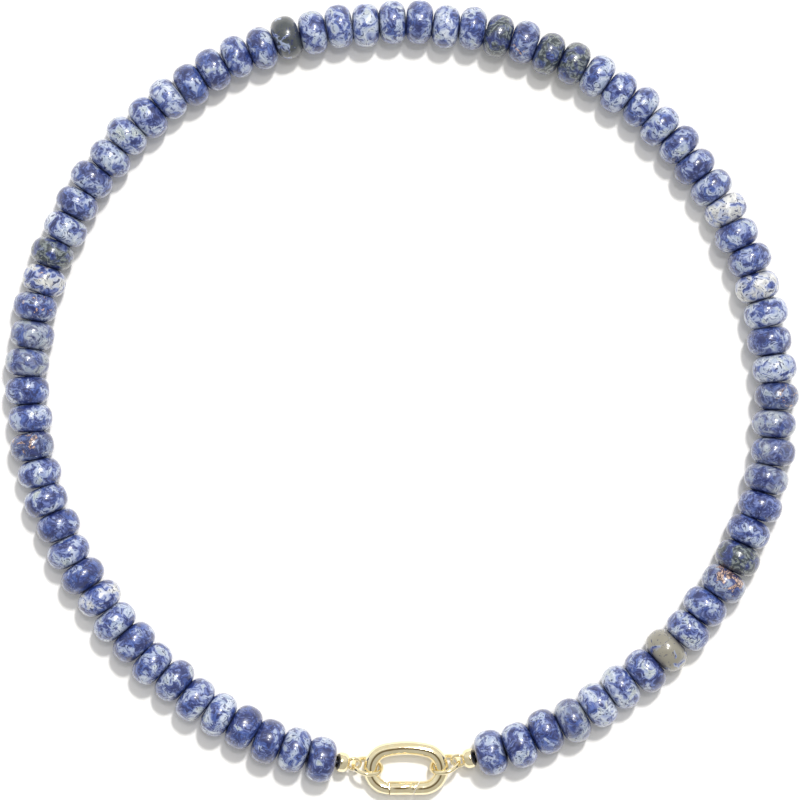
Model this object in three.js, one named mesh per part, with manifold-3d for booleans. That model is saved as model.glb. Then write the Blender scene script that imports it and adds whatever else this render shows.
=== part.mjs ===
// A beaded necklace: polished stone rondelles on one thread, closed by an oval clasp with a push-in gate.
// Millimetres, +Z up. It lies on a surface at z = 0, as it does when it is laid down closed, with the clasp at -Y.
// The origin is the middle of its footprint. Every size of one piece is named once, and the loop's radius follows
// from the stones, which have to fill it.
import * as THREE from "three";
import { mergeVertices } from "three/addons/utils/BufferGeometryUtils.js";
import Module from "manifold-3d";

const wasm = await Module();
wasm.setup();

const STONE_WIDE = 8.1;
const STONE_THICK = 5.065;
// The stones, clockwise from the left end cap. They were sorted by size, so each run has its own share of both.
const STONE_RUNS = [
  { stones: 12, thick: 1.005, wide: 1.025 },
  { stones: 18, thick: 1.005, wide: 0.99 },
  { stones: 25, thick: 0.962, wide: 0.975 },
  { stones: 12, thick: 1.0, wide: 1.0 },
  { stones: 12, thick: 1.053, wide: 1.03 },
];
// Half of a stone's outline, as shares of half its thickness and of its radius.
const STONE_OUTLINE = [
  { along: 0.86, out: 0.69 },
  { along: 0.48, out: 0.95 },
  { along: 0, out: 1.0 },
];
const STONE_FACE = 3.0; // across the flat face round the drilled hole
const STONE_SIDES = 12;
// How the stones stand on the thread, over and over: out of the loop by a share of their width, and turned on
// the surface by degrees.
const STONE_SWAY = [
  { out: 0.027, turn: 2.5 },
  { out: -0.015, turn: -1.5 },
  { out: 0.017, turn: 1.0 },
  { out: -0.032, turn: -2.5 },
  { out: 0.006, turn: 2.0 },
  { out: 0.022, turn: -1.0 },
  { out: -0.026, turn: -0.5 },
];
const END_STONE_PITCH = 8; // degrees that the first and last stone dip towards the clasp

// The thread
const THREAD_WIDE = 0.55;
const THREAD_SHOWS = 0.3; // between the end cap and the first stone
const THREAD_ENTERS = 1.0; // into the end cap
const KNOT_WIDE = 1.7; // the knot in the end cap's cup
const KNOT_DEEP = 0.15; // from the cup's mouth to the knot

// The loop departs from a circle by these shares of its mean radius, each greatest at its peak, in degrees.
const LOOP_LOBES = [
  { lobes: 2, share: 0.0048, peak: -31 },
  { lobes: 3, share: 0.0046, peak: 23 },
  { lobes: 4, share: 0.0048, peak: -12 },
  { lobes: 5, share: 0.0037, peak: -23 },
];
const CLASP_ANGLE = -89.3; // where on the loop the clasp is

// The end caps: a round cup that holds the thread's knot, with an eye soldered to it
const CAP_WIDE = 3.6;
const CAP_THICK = 2.3;
const CAP_BORE = 2.1;
// From the eye to the cup's mouth, as shares of half its thickness and of its radius
const CAP_OUTLINE = [
  { along: 1.0, out: 0.42 },
  { along: 0.76, out: 0.76 },
  { along: 0.28, out: 0.97 },
  { along: -0.2, out: 1.0 },
  { along: -0.7, out: 0.9 },
  { along: -1.0, out: 0.7 },
];
const CAP_PITCH = 14; // degrees that it dips towards the clasp
const EYE_WIRE = 0.6;
const EYE_HOLE = 1.8;

// The jump rings
const RING_WIRE = 0.8;
const RING_HOLE = 4.3;
const RING_TILT = 60; // degrees from the surface, with the side away from the loop's middle up
const RING_SLACK = 0.5; // from the clasp's wire, which it lies loose round

// The clasp, an oval of round wire whose back is bowed
const CLASP_LONG = 15.5;
const CLASP_WIDE = 9.8;
const CLASP_WIRE = 2.5;
const CLASP_BOW = 0.35;
const CLASP_SAG = 0.45; // how far its middle lies outside the loop
const CLASP_SIDES = 12;

// The gate in the clasp's straight side
const PIN_WIDE = 0.6;
const PIN_ALONG = 3.7; // from the middle of that side, to the left
const PIN_INWARD = 0.7; // from the middle of the wire, into the oval
const KNUCKLE = 0.6; // radius of the clasp's ears round the pin
const TONGUE_THICK = 0.9;
const TONGUE_REACH = 0.8; // radius of the gate's tongue round the pin
const GATE_TIP = 1.95; // where the slanted joint crosses the middle of the wire
const GATE_SLANT = 26; // degrees of that joint from square

// Clearances
const BORE_GAP = 0.3; // from the thread's end to the bottom of the end cap's bore
const GATE_GAP = 0.15; // round the gate and its tongue
const PIN_GAP = 0.06;
const STRING_GAP = 0.3; // where the two halves of the string meet

const LEFT = -1;
const RIGHT = 1;
const UP = new THREE.Vector3(0, 0, 1);
const radians = THREE.MathUtils.degToRad;

const stone = new THREE.MeshStandardMaterial({ color: 0x6377b5, roughness: 0.18, metalness: 0 });
const gold = new THREE.MeshStandardMaterial({ color: 0xe6cf8c, roughness: 0.15, metalness: 1 });
const steel = new THREE.MeshStandardMaterial({ color: 0xd8c48c, roughness: 0.3, metalness: 1 });

// Booleans

function solid(geometry) {
  const bare = geometry.clone();
  bare.deleteAttribute("normal");
  bare.deleteAttribute("uv");
  const merged = mergeVertices(bare, 1e-4);
  return new wasm.Manifold(
    new wasm.Mesh({
      numProp: 3,
      vertProperties: merged.attributes.position.array,
      triVerts: new Uint32Array(merged.index.array),
    }),
  );
}

function geometryOf(manifold) {
  const mesh = manifold.getMesh();
  const geometry = new THREE.BufferGeometry();
  geometry.setAttribute("position", new THREE.BufferAttribute(mesh.vertProperties, 3));
  geometry.setIndex(new THREE.BufferAttribute(mesh.triVerts, 1));
  geometry.computeVertexNormals();
  return geometry;
}

// A skin over rings of points. A closed one goes round into itself, and an open one gets a lid at each end.
function skin(rings, closed) {
  const sides = rings[0].length;
  const points = rings.flat();
  const faces = [];
  const last = closed ? rings.length : rings.length - 1;
  for (let ring = 0; ring < last; ring += 1) {
    const here = ring * sides;
    const next = ((ring + 1) % rings.length) * sides;
    for (let side = 0; side < sides; side += 1) {
      const beside = (side + 1) % sides;
      faces.push(here + side, here + beside, next + beside);
      faces.push(here + side, next + beside, next + side);
    }
  }
  if (!closed) {
    const end = (rings.length - 1) * sides;
    for (let side = 1; side < sides - 1; side += 1) {
      faces.push(0, side + 1, side);
      faces.push(end, end + side, end + side + 1);
    }
  }
  const geometry = new THREE.BufferGeometry().setFromPoints(points);
  geometry.setIndex(faces);
  return geometry;
}

// A ring of points round a place. It is square to axis, and its flats, not its corners, touch the radius.
function ringAround(place, axis, radius, sides) {
  const across = new THREE.Vector3().crossVectors(UP, axis).normalize();
  const over = new THREE.Vector3().crossVectors(axis, across);
  const corner = radius / Math.cos(Math.PI / sides);
  return Array.from({ length: sides }, (_, side) => {
    const angle = ((side + 0.5) * 2 * Math.PI) / sides;
    return place
      .clone()
      .addScaledVector(across, corner * Math.cos(angle))
      .addScaledVector(over, corner * Math.sin(angle));
  });
}

// The loop that the thread lies in

function loopPoint(degrees, meanRadius) {
  let radius = meanRadius;
  for (const { lobes, share, peak } of LOOP_LOBES) {
    radius += meanRadius * share * Math.cos(radians(lobes * (degrees - peak)));
  }
  const angle = radians(degrees);
  return new THREE.Vector3(radius * Math.cos(angle), radius * Math.sin(angle), 0);
}

// The angle at which the loop passes a distance to one side of the clasp's middle.
function loopAngle(side, distance, meanRadius) {
  let angle = CLASP_ANGLE;
  for (let round = 0; round < 20; round += 1) {
    const radius = loopPoint(angle, meanRadius).length();
    angle = CLASP_ANGLE + side * THREE.MathUtils.radToDeg(Math.asin(distance / radius));
  }
  return angle;
}

// Along the loop from the left end of the stones clockwise to their right end.
class ThreadRoute extends THREE.Curve {
  constructor(meanRadius, halfGap) {
    super();
    this.arcLengthDivisions = 2000;
    this.meanRadius = meanRadius;
    this.from = loopAngle(LEFT, halfGap, meanRadius);
    this.to = loopAngle(RIGHT, halfGap, meanRadius) - 360;
  }

  getPoint(share, target = new THREE.Vector3()) {
    const degrees = THREE.MathUtils.lerp(this.from, this.to, share);
    return target.copy(loopPoint(degrees, this.meanRadius));
  }
}

function routeOfLength(length, halfGap) {
  let meanRadius = (length + 2 * halfGap) / (2 * Math.PI);
  let route;
  for (let round = 0; round < 12; round += 1) {
    route = new ThreadRoute(meanRadius, halfGap);
    meanRadius += (length - route.getLength()) / (2 * Math.PI);
  }
  return route;
}

// Distances from the clasp's middle out to the stones, along the necklace.
const ringReach = (RING_HOLE + RING_WIRE) / 2;
const ringAt = CLASP_LONG / 2 - CLASP_WIRE - RING_SLACK + RING_HOLE / 2;
const eyeAt = ringAt + ringReach;
const eyeToCap = (EYE_HOLE + CAP_THICK) / 2;
const capAt = eyeAt + eyeToCap;
const stonesAt = capAt + CAP_THICK / 2 + THREAD_SHOWS;

const sizes = STONE_RUNS.flatMap(({ stones, thick, wide }) =>
  Array(stones).fill({ thick: thick * STONE_THICK, wide: wide * STONE_WIDE }),
);
const stringLength = sizes.reduce((sum, { thick }) => sum + thick, 0);
const route = routeOfLength(stringLength, stonesAt);

const claspMiddle = loopPoint(CLASP_ANGLE, route.meanRadius + CLASP_SAG);

// Heights. The rings lie on the surface, the clasp on the rings, and the caps follow from the rings.
const ringHigh = ringReach * Math.sin(radians(RING_TILT)) + RING_WIRE / 2;
const claspHigh = RING_WIRE + RING_SLACK + CLASP_WIRE / 2;
const capHigh = ringHigh + eyeToCap * Math.sin(radians(CAP_PITCH));

// Where each stone stands: its middle, and its axis along the thread.
function placeStones() {
  let passed = 0;
  return sizes.map(({ thick, wide }, number) => {
    const share = (passed + thick / 2) / stringLength;
    passed += thick;
    const { out, turn } = STONE_SWAY[number % STONE_SWAY.length];
    const axis = route.getTangentAt(share).normalize();
    const outward = new THREE.Vector3().crossVectors(UP, axis);
    const middle = route.getPointAt(share).addScaledVector(outward, out * wide);
    axis.applyAxisAngle(UP, radians(turn));
    let high = wide / 2;
    const atLeftEnd = number === 0;
    if (atLeftEnd || number === sizes.length - 1) {
      const pitch = radians(atLeftEnd ? END_STONE_PITCH : -END_STONE_PITCH);
      axis.applyAxisAngle(new THREE.Vector3().crossVectors(axis, UP).normalize(), pitch);
      const reaches = STONE_OUTLINE.map(
        ({ along, out }) => (wide * out * Math.cos(pitch) + thick * along * Math.abs(Math.sin(pitch))) / 2,
      );
      high = Math.max(...reaches);
    }
    middle.z = high;
    return { middle, axis, thick, wide };
  });
}

function stoneRing({ middle, axis, thick, wide }, along, radius) {
  const place = middle.clone().addScaledVector(axis, (along * thick) / 2);
  return ringAround(place, axis, radius ?? wide / 2, STONE_SIDES);
}

// The rings of one stone between its two faces.
function stoneRings(placed) {
  const rising = STONE_OUTLINE.map(({ along, out }) => ({ along: -along, out }));
  const falling = STONE_OUTLINE.slice(0, -1).reverse();
  return [...rising, ...falling].map(({ along, out }) => stoneRing(placed, along, (out * placed.wide) / 2));
}

// Where two stones touch, they share the ring round their faces.
function sharedFace(one, next) {
  const end = one.middle.clone().addScaledVector(one.axis, one.thick / 2);
  const start = next.middle.clone().addScaledVector(next.axis, -next.thick / 2);
  const axis = one.axis.clone().add(next.axis).normalize();
  return ringAround(end.lerp(start, 0.5), axis, STONE_FACE / 2, STONE_SIDES);
}

// From the clasp's middle line, the end cap of one side: its middle, and its axis towards the clasp.
function placeCap(side) {
  const angle = loopAngle(side, capAt, route.meanRadius);
  const middle = loopPoint(angle, route.meanRadius).setZ(capHigh);
  const nearer = loopPoint(loopAngle(side, eyeAt, route.meanRadius), route.meanRadius).setZ(capHigh);
  const level = nearer.sub(middle).normalize();
  const axis = level.multiplyScalar(Math.cos(radians(CAP_PITCH))).addScaledVector(UP, -Math.sin(radians(CAP_PITCH)));
  return { middle, axis };
}

// The thread's rings from a stone's end face to the knot in the end cap's cup, the knot's end first.
function threadEnd(placed, side) {
  const outwards = side === LEFT ? -1 : 1;
  const cap = placeCap(side);
  const face = placed.middle.clone().addScaledVector(placed.axis, (outwards * placed.thick) / 2);
  const mouth = cap.middle.clone().addScaledVector(cap.axis, -CAP_THICK / 2);
  const tip = mouth.clone().addScaledVector(cap.axis, THREAD_ENTERS);
  const knot = mouth.clone().addScaledVector(cap.axis, KNOT_DEEP);
  const along = cap.axis.clone().multiplyScalar(outwards);
  const between = placed.axis.clone().add(along).normalize();
  return [
    ringAround(tip, along, KNOT_WIDE / 2, STONE_SIDES),
    ringAround(knot, along, KNOT_WIDE / 2, STONE_SIDES),
    ringAround(knot, along, THREAD_WIDE / 2, STONE_SIDES),
    ringAround(mouth, between, THREAD_WIDE / 2, STONE_SIDES),
    ringAround(face, placed.axis, THREAD_WIDE / 2, STONE_SIDES),
    ringAround(face, placed.axis, STONE_FACE / 2, STONE_SIDES),
  ];
}

// Half of the string is one body: its stones, which touch face to face, and the thread at the clasp's end.
function stringHalf(placed, side) {
  const rings = side === LEFT ? threadEnd(placed[0], LEFT) : [];
  placed.forEach((one, number) => {
    rings.push(...stoneRings(one));
    const next = placed[number + 1];
    if (next) rings.push(sharedFace(one, next));
  });
  const free = side === LEFT ? placed.at(-1) : placed[0];
  const back = (side === LEFT ? 1 : -1) * (1 - STRING_GAP / free.thick);
  const meeting = stoneRing(free, back, STONE_FACE / 2);
  if (side === LEFT) rings.push(meeting);
  else rings.unshift(meeting);
  if (side === RIGHT) rings.push(...threadEnd(placed.at(-1), RIGHT).reverse());
  return skin(rings, false);
}

// An end cap lies along its own X axis, which points to the clasp, with its eye's hole square to the jump ring.
function capGeometry() {
  const half = CAP_THICK / 2;
  const bore = CAP_BORE / 2;
  const bottom = -half + THREAD_ENTERS + BORE_GAP;
  const outline = [
    [0, half],
    ...CAP_OUTLINE.map(({ along, out }) => [(out * CAP_WIDE) / 2, along * half]),
    [bore, -half],
    [bore, bottom],
    [0, bottom],
  ].map(([radius, along]) => new THREE.Vector2(radius, along));
  const bead = new THREE.LatheGeometry(outline.reverse(), 14).rotateZ(-Math.PI / 2);
  const eye = new THREE.TorusGeometry((EYE_HOLE + EYE_WIRE) / 2, EYE_WIRE / 2, 6, 14);
  eye.translate(eyeToCap, 0, 0);
  return geometryOf(solid(bead).add(solid(eye)));
}

// A frame whose X is along and whose Z leans from upright by the ring's tilt.
function leaningFrame(along, side) {
  const level = new THREE.Vector3().crossVectors(UP, along).normalize();
  const over = new THREE.Vector3().crossVectors(along, level);
  const lean = radians(RING_TILT);
  const raised = over.multiplyScalar(Math.sin(lean)).addScaledVector(level, side * Math.cos(lean));
  return new THREE.Matrix4().makeBasis(along, new THREE.Vector3().crossVectors(raised, along), raised);
}

// The oval of the clasp's wire, in its own frame: the middle line's points with their outward directions.
function claspLine() {
  const endRadius = (CLASP_WIDE - CLASP_WIRE - CLASP_BOW) / 2;
  const straight = (CLASP_LONG - CLASP_WIRE) / 2 - endRadius;
  const reach = (straight ** 2 + CLASP_BOW ** 2) / (2 * CLASP_BOW);
  const backRadius = endRadius + reach;
  const backMiddle = endRadius + CLASP_BOW - backRadius;
  const turn = THREE.MathUtils.radToDeg(Math.asin(straight / reach));
  const arcs = [
    { x: 0, y: backMiddle, radius: backRadius, from: 90 - turn, to: 90 + turn, steps: 6 },
    { x: -straight, y: 0, radius: endRadius, from: 90 + turn, to: 270, steps: 12 },
    { x: straight, y: 0, radius: endRadius, from: 270, to: 450 - turn, steps: 12 },
  ];
  const line = [];
  for (const { x, y, radius, from, to, steps } of arcs) {
    for (let step = 0; step <= steps; step += 1) {
      const angle = radians(THREE.MathUtils.lerp(from, to, step / steps));
      const outward = new THREE.Vector3(Math.cos(angle), Math.sin(angle), 0);
      const point = new THREE.Vector3(x, y, 0).addScaledVector(outward, radius);
      if (!line.length || line.at(-1).point.distanceTo(point) > 1e-6) line.push({ point, outward });
    }
  }
  if (line.at(-1).point.distanceTo(line[0].point) < 1e-6) line.pop();
  return { line, endRadius };
}

const { line: ovalLine, endRadius: sideAt } = claspLine();

function ovalGeometry() {
  const rings = ovalLine.map(({ point, outward }) => {
    const along = new THREE.Vector3().crossVectors(UP, outward);
    return ringAround(point, along, CLASP_WIRE / 2, CLASP_SIDES);
  });
  return skin(rings, true);
}

const pin = { x: -PIN_ALONG, y: PIN_INWARD - sideAt };

// The part of the oval that the gate fills, seen from above, smaller all round by gap. Its shoulder is square
// outside the pin and an arc round it inside, where the gate turns past the ears, and its tip is slanted.
function gateWindow(gap) {
  const knuckle = KNUCKLE + gap;
  const beyond = CLASP_WIRE;
  const slope = Math.tan(radians(GATE_SLANT));
  const tip = GATE_TIP - gap / Math.cos(radians(GATE_SLANT));
  const shape = new THREE.Shape();
  shape.moveTo(pin.x + knuckle, -sideAt - beyond);
  shape.lineTo(tip - beyond * slope, -sideAt - beyond);
  shape.lineTo(tip + beyond * slope, -sideAt + beyond);
  shape.lineTo(pin.x, -sideAt + beyond);
  shape.absarc(pin.x, pin.y, knuckle, Math.PI / 2, 0, true);
  shape.closePath();
  return upright(shape, CLASP_WIRE * 2);
}

// A shape in the clasp's plane, made a solid of that height about the plane.
function upright(shape, height) {
  const made = new THREE.ExtrudeGeometry(shape, { depth: height, bevelEnabled: false, curveSegments: 10 });
  return solid(made.translate(0, 0, -height / 2));
}

function disc(radius, height) {
  const shape = new THREE.Shape().absarc(pin.x, pin.y, radius, 0, 2 * Math.PI, false);
  return upright(shape, height);
}

function claspBody(oval) {
  const slotLong = TONGUE_REACH + GATE_GAP + KNUCKLE + GATE_GAP;
  const slotHigh = TONGUE_THICK + 2 * GATE_GAP;
  const slot = new THREE.BoxGeometry(slotLong, CLASP_WIRE * 2, slotHigh);
  slot.translate(pin.x - TONGUE_REACH - GATE_GAP + slotLong / 2, -sideAt, 0);
  return oval
    .subtract(gateWindow(0))
    .subtract(solid(slot))
    .subtract(disc(PIN_WIDE / 2 + PIN_GAP, CLASP_WIRE * 2));
}

function claspGate(oval) {
  const bridgeLong = KNUCKLE + 2 * GATE_GAP;
  const bridge = new THREE.BoxGeometry(bridgeLong, CLASP_WIRE, TONGUE_THICK);
  bridge.translate(pin.x + GATE_GAP + bridgeLong / 2, -sideAt, 0);
  const tongue = disc(TONGUE_REACH, TONGUE_THICK).add(solid(bridge)).intersect(oval);
  return oval
    .intersect(gateWindow(GATE_GAP))
    .add(tongue)
    .subtract(disc(PIN_WIDE / 2 + PIN_GAP, CLASP_WIRE * 2));
}

function pinGeometry() {
  const high = 2 * Math.sqrt((CLASP_WIRE / 2) ** 2 - PIN_INWARD ** 2);
  return geometryOf(disc(PIN_WIDE / 2, high));
}

function named(name, geometry, material) {
  const mesh = new THREE.Mesh(geometry, material);
  mesh.name = name;
  return mesh;
}

// The clasp's pieces, in a group at the clasp's middle.
function clasp() {
  const oval = solid(ovalGeometry());
  const group = new THREE.Group();
  group.add(named("clasp_body", geometryOf(claspBody(oval)), gold));
  group.add(named("clasp_gate", geometryOf(claspGate(oval)), gold));
  group.add(named("gate_pin", pinGeometry(), steel));
  group.position.copy(claspMiddle).setZ(claspHigh);
  return group;
}

// The end cap and the jump ring of one side, each in its own frame.
function fitting(side, word) {
  const { middle, axis } = placeCap(side);
  const eye = middle.clone().addScaledVector(axis, eyeToCap);
  const into = new THREE.Vector3(side * (ringAt - ringReach), 0, eye.z).add(claspMiddle);
  const along = into.sub(eye).normalize();

  const cap = named("end_cap_" + word, capGeometry(), gold);
  cap.applyMatrix4(leaningFrame(axis, side));
  cap.position.copy(middle);

  const torus = new THREE.TorusGeometry(ringReach, RING_WIRE / 2, 6, 16).rotateX(Math.PI / 2);
  const ring = named("jump_ring_" + word, torus, gold);
  ring.applyMatrix4(leaningFrame(along, side));
  ring.position.copy(eye).addScaledVector(along, ringReach);
  return [cap, ring];
}

const placed = placeStones();
const half = Math.ceil(placed.length / 2);
const pieces = new THREE.Group();
pieces.add(named("stone_string_left", stringHalf(placed.slice(0, half), LEFT), stone));
pieces.add(named("stone_string_right", stringHalf(placed.slice(half), RIGHT), stone));
pieces.add(...fitting(LEFT, "left"), ...fitting(RIGHT, "right"));
pieces.add(clasp());

// The origin goes to the middle of the footprint, on the surface.
pieces.updateMatrixWorld(true);
const footprint = new THREE.Box3().setFromObject(pieces, true);
const middle = footprint.getCenter(new THREE.Vector3());
pieces.position.set(-middle.x, -middle.y, -footprint.min.z);

const necklace = new THREE.Group();
necklace.add(pieces);

export default necklace;
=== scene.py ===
"""A necklace of polished stone rondelles with a gold push-gate clasp, closed, seen from straight above."""

import math
import random

import bmesh
import bpy
import numpy as np
from mathutils import Matrix, Vector


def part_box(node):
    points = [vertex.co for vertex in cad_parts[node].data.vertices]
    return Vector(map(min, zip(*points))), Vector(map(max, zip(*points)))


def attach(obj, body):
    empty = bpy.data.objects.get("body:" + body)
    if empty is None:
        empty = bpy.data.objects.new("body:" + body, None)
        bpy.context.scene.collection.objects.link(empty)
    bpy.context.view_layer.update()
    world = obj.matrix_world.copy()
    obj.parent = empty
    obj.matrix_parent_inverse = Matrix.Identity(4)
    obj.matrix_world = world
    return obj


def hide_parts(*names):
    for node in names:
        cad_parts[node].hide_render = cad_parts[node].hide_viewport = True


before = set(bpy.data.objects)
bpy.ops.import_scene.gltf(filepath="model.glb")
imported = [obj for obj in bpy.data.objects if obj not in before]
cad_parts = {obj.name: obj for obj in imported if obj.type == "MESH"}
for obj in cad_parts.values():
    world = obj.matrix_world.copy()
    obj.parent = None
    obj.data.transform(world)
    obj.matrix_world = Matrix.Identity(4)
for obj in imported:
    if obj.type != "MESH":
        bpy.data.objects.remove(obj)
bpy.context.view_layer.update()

MM = 0.001
LEFT = -1
RIGHT = 1
UP = Vector((0, 0, 1))
TINY = 0.001  # lengths in millimetres that differ by less are the same
FLAT = 0.99  # a face whose normal has more than this share along Z lies flat
CENTRAL = 0.01  # a face whose middle is nearer than this to Z is the one on Z

# The stones and how they stand on the thread, clockwise from the left end cap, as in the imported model
STONE_WIDE = 8.1
STONE_THICK = 5.065
STONE_RUNS = [
    # stones, share of the thickness, share of the width
    (12, 1.005, 1.025),
    (18, 1.005, 0.99),
    (25, 0.962, 0.975),
    (12, 1.0, 1.0),
    (12, 1.053, 1.03),
]
STONE_SWAY = [
    # out of the loop as a share of the width, turn in degrees
    (0.027, 2.5),
    (-0.015, -1.5),
    (0.017, 1.0),
    (-0.032, -2.5),
    (0.006, 2.0),
    (0.022, -1.0),
    (-0.026, -0.5),
]
END_STONE_PITCH = 8
STONE_RIM = [
    # share of half the thickness, share of the radius
    (0.86, 0.69),
    (0.48, 0.95),
    (0, 1.0),
]
LEFT_STONES = 40
HOLE_WIDE = 1.0
STONE_FORMS = [
    # rounding as a share of half the thickness, squareness of the rounding
    (0.98, 0.51),
    (0.93, 0.52),
    (0.97, 0.54),
    (0.88, 0.51),
]
ROUNDING_REACH = 1.03  # by how much further the rounding reaches inwards than along
STONE_SIDES = 40
ROUNDING_STEPS = 9
HOLE_RIM = 0.3  # width of the hole's sunken rim, as a share of the hole's radius
HOLE_SINKS = 0.12

THREAD_WIDE = 0.55
THREAD_SHOWS = 0.3
THREAD_ENTERS = 1.0
KNOT_WIDE = 1.7
KNOT_DEEP = 0.15
KNOT_SIDES = 32
KNOT_RINGS = 20

LOOP_LOBES = [
    # lobes, share of the mean radius, peak in degrees
    (2, 0.0048, -31),
    (3, 0.0046, 23),
    (4, 0.0048, -12),
    (5, 0.0037, -23),
]
CLASP_ANGLE = -89.3

CAP_WIDE = 3.6
CAP_THICK = 2.3
CAP_BORE = 2.1
CAP_ROUNDING = 1.2  # of the end with the eye
CAP_LIP = 0.66  # rounding of the end with the cup's mouth
BORE_DEEP = 1.3
CAP_PITCH = 14
CAP_SIDES = 56
EYE_WIRE = 0.6
EYE_HOLE = 1.8
EYE_STEPS = 48
EYE_SIDES = 18
RING_WIRE = 0.8
RING_HOLE = 4.3
RING_TILT = 60
RING_SLACK = 0.5
RING_SWEEP = 359  # the rest of the round is the ring's cut
RING_CUT_AT = 150  # places the cut towards the eye
RING_STEPS = 90
RING_SIDES = 24

CLASP_LONG = 15.5
CLASP_WIDE = 9.8
CLASP_WIRE = 2.5
CLASP_BOW = 0.35
CLASP_SAG = 0.45
WIRE_SIDES = 40
END_STEPS = 36
BACK_STEPS = 16
BAR_SIDES = 48
PIN_SIDES = 32
CLEAR = 3  # how far cutting blocks reach past the straight side's wire
CUT_ROUNDING = 0.05  # of the edges that a cut left
PIN_ROUNDING = 0.03
PIN_WIDE = 0.6
PIN_ALONG = 3.7
PIN_INWARD = 0.7
KNUCKLE = 0.6
TONGUE_THICK = 0.9
TONGUE_REACH = 0.8
GATE_TIP = 1.95
GATE_SLANT = 26
GATE_GAP = 0.15
PIN_GAP = 0.06
GROOVE_BACK = 0.9  # from the slanted joint, along the gate
GROOVE_WIDE = 0.12
GROOVE_DEEP = 0.09

# What kind each stone is, judged from the photo, in the order of the stones
STONE_CHART = (
    "mmkdppbpkpykpdppqpdssrcnpdbmppwkbpbOpwwp"  # the left half
    "bwpnrnnppmpmdmvpdvwbwqsssddnRbpPdwwsdpm"  # the right half
)
STONE_KINDS = {
    # blue cover, depth of the blue, grey or, below 0, cream, rust
    "w": (0.30, 0.50, -0.15, 0.0),
    "p": (0.43, 0.70, 0.05, 0.0),
    "m": (0.53, 0.70, 0.10, 0.0),
    "b": (0.63, 0.85, 0.10, 0.0),
    "d": (0.72, 1.10, 0.05, 0.0),
    "k": (0.84, 1.25, 0.05, 0.0),
    "s": (0.55, 0.30, 0.40, 0.0),
    "n": (0.52, 0.98, 1.10, 0.0),
    "O": (0.02, 0.90, 3.00, 0.0),
    "P": (0.02, 0.00, 3.00, 0.0),
    "r": (0.52, 0.90, 0.20, 0.45),
    "q": (0.78, 1.30, 0.35, 0.50),
    "R": (0.60, 1.20, 0.35, 0.80),
    "c": (0.20, 0.90, -0.90, 0.40),
    "v": (0.25, 0.90, -0.90, 0.0),
    "y": (0.29, 0.60, -0.90, 0.0),
}
KIND_SPREAD = 0.07  # by how much the stones of one kind differ
SEED_REACH = 60
RUST_FROM = 0.35  # how much a side has to face the rust's way for it to begin
RUST_SPREAD = 0.45
RUST_SPOTS = {
    # stone: the way its rust faces, to the right, away and up
    16: (-0.35, 0.5, 0.8),
    21: (0.1, 0.2, 1.0),
    22: (0.0, 0.4, 0.9),
    44: (-0.6, -0.1, 0.75),
    61: (0.5, 0.2, 0.8),
    68: (0.4, 0.5, 0.75),
}
BLUE_DEPTHS = [
    # how far into the blue, colour
    (0.10, (0.40, 0.465, 0.66)),
    (0.34, (0.245, 0.305, 0.54)),
    (0.50, (0.115, 0.155, 0.40)),
    (0.66, (0.046, 0.072, 0.255)),
    (0.90, (0.016, 0.030, 0.14)),
]
NOISES = {
    # lumps for each millimetre, finer layers, their strength
    "bend": (0.42, 1, 0.55),
    "clouds": (0.42, 2, 0.5),
    "grain": (0.85, 2, 0.5),
    "fine": (2.1, 2, 0.55),
    "tint": (0.3, 2, 0.55),
    "veins": (0.8, 2, 0.5),
    "smears": (1.7, 2, 0.5),
    "blotches": (1.3, 2, 0.5),
    "mottle": (1.5, 3, 0.55),
    "rust": (0.8, 3, 0.6),
    "flecks": (2.1, 2, 0.5),
    "plate": (0.9, 3, 0.55),
    "rub_marks": (2.2, 6, 0.7),
    "fibres": (6, 4, 0.7),
}
MASKS = {
    # the value at which each mask begins, and the one at which it is full
    "milk": (0.36, 0.60),
    "green": (0.36, 0.62),
    "greenish": (0.50, 0.64),
    "vein": (0.036, 0.008),
    "vein_gaps": (0.43, 0.56),
    "haze": (-0.32, -0.01),
    "light_smear": (0.52, 0.60),
    "light_smear_depth": (-0.02, 0.08),
    "dark_smear": (0.49, 0.42),
    "dark_smear_depth": (-0.12, 0.02),
    "cobalt": (0.51, 0.40),
    "cobalt_depth": (-0.08, 0.05),
    "line_begins": (-0.045, -0.005),
    "line_ends": (0.055, 0.015),
    "line_gaps": (0.42, 0.56),
    "core_gaps": (0.36, 0.52),
    "blotch": (0.59, 0.63),
    "mottle": (0.46, 0.60),
    "mottled_kinds": (3.3, 1.5),
    "grey_clouds": (0.66, 0.44),
    "clay": (0.44, 0.54),
    "rusty_kinds": (0.05, 0.2),
    # painted shade near the faces where two stones meet
    "painted_seam_shade": (0.82, 1.0),
    "plate": (0.3, 0.7),
    "window_side": (-0.15, 0.5),
    "strip_begins": (0.33, 0.38),
    "strip_ends": (0.53, 0.48),
    "strip_long": (0.55, 0.40),
    "strip_high": (0.3, 0.5),
}
RULES = {
    # by what a value is multiplied, and what is added
    "vein_share": (-0.60, 0.85),
    "blue_edge": (-0.52, 1.41),
    "place_in_depths": (1.9, 0.5),
    "core_level": (-0.17, 1.38),
    "rust_edge": (-0.42, 0.76),
    "fleck_edge": (-0.05, 0.625),
    "stone_roughness": (0.12, 0.24),
    "coat_roughness": (0.08, 0.05),
    "plate_roughness": (0.14, 0.02),
}
STRENGTHS = {
    "light_smear": 0.65,
    "dark_smear": 0.9,
    "cobalt": 0.5,
    "line": 0.62,
    "core": 0.9,
    "fleck": 0.92,
    # how strongly the painted shade between stones darkens the colour
    "painted_seam_shade": 0.75,
}
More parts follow.
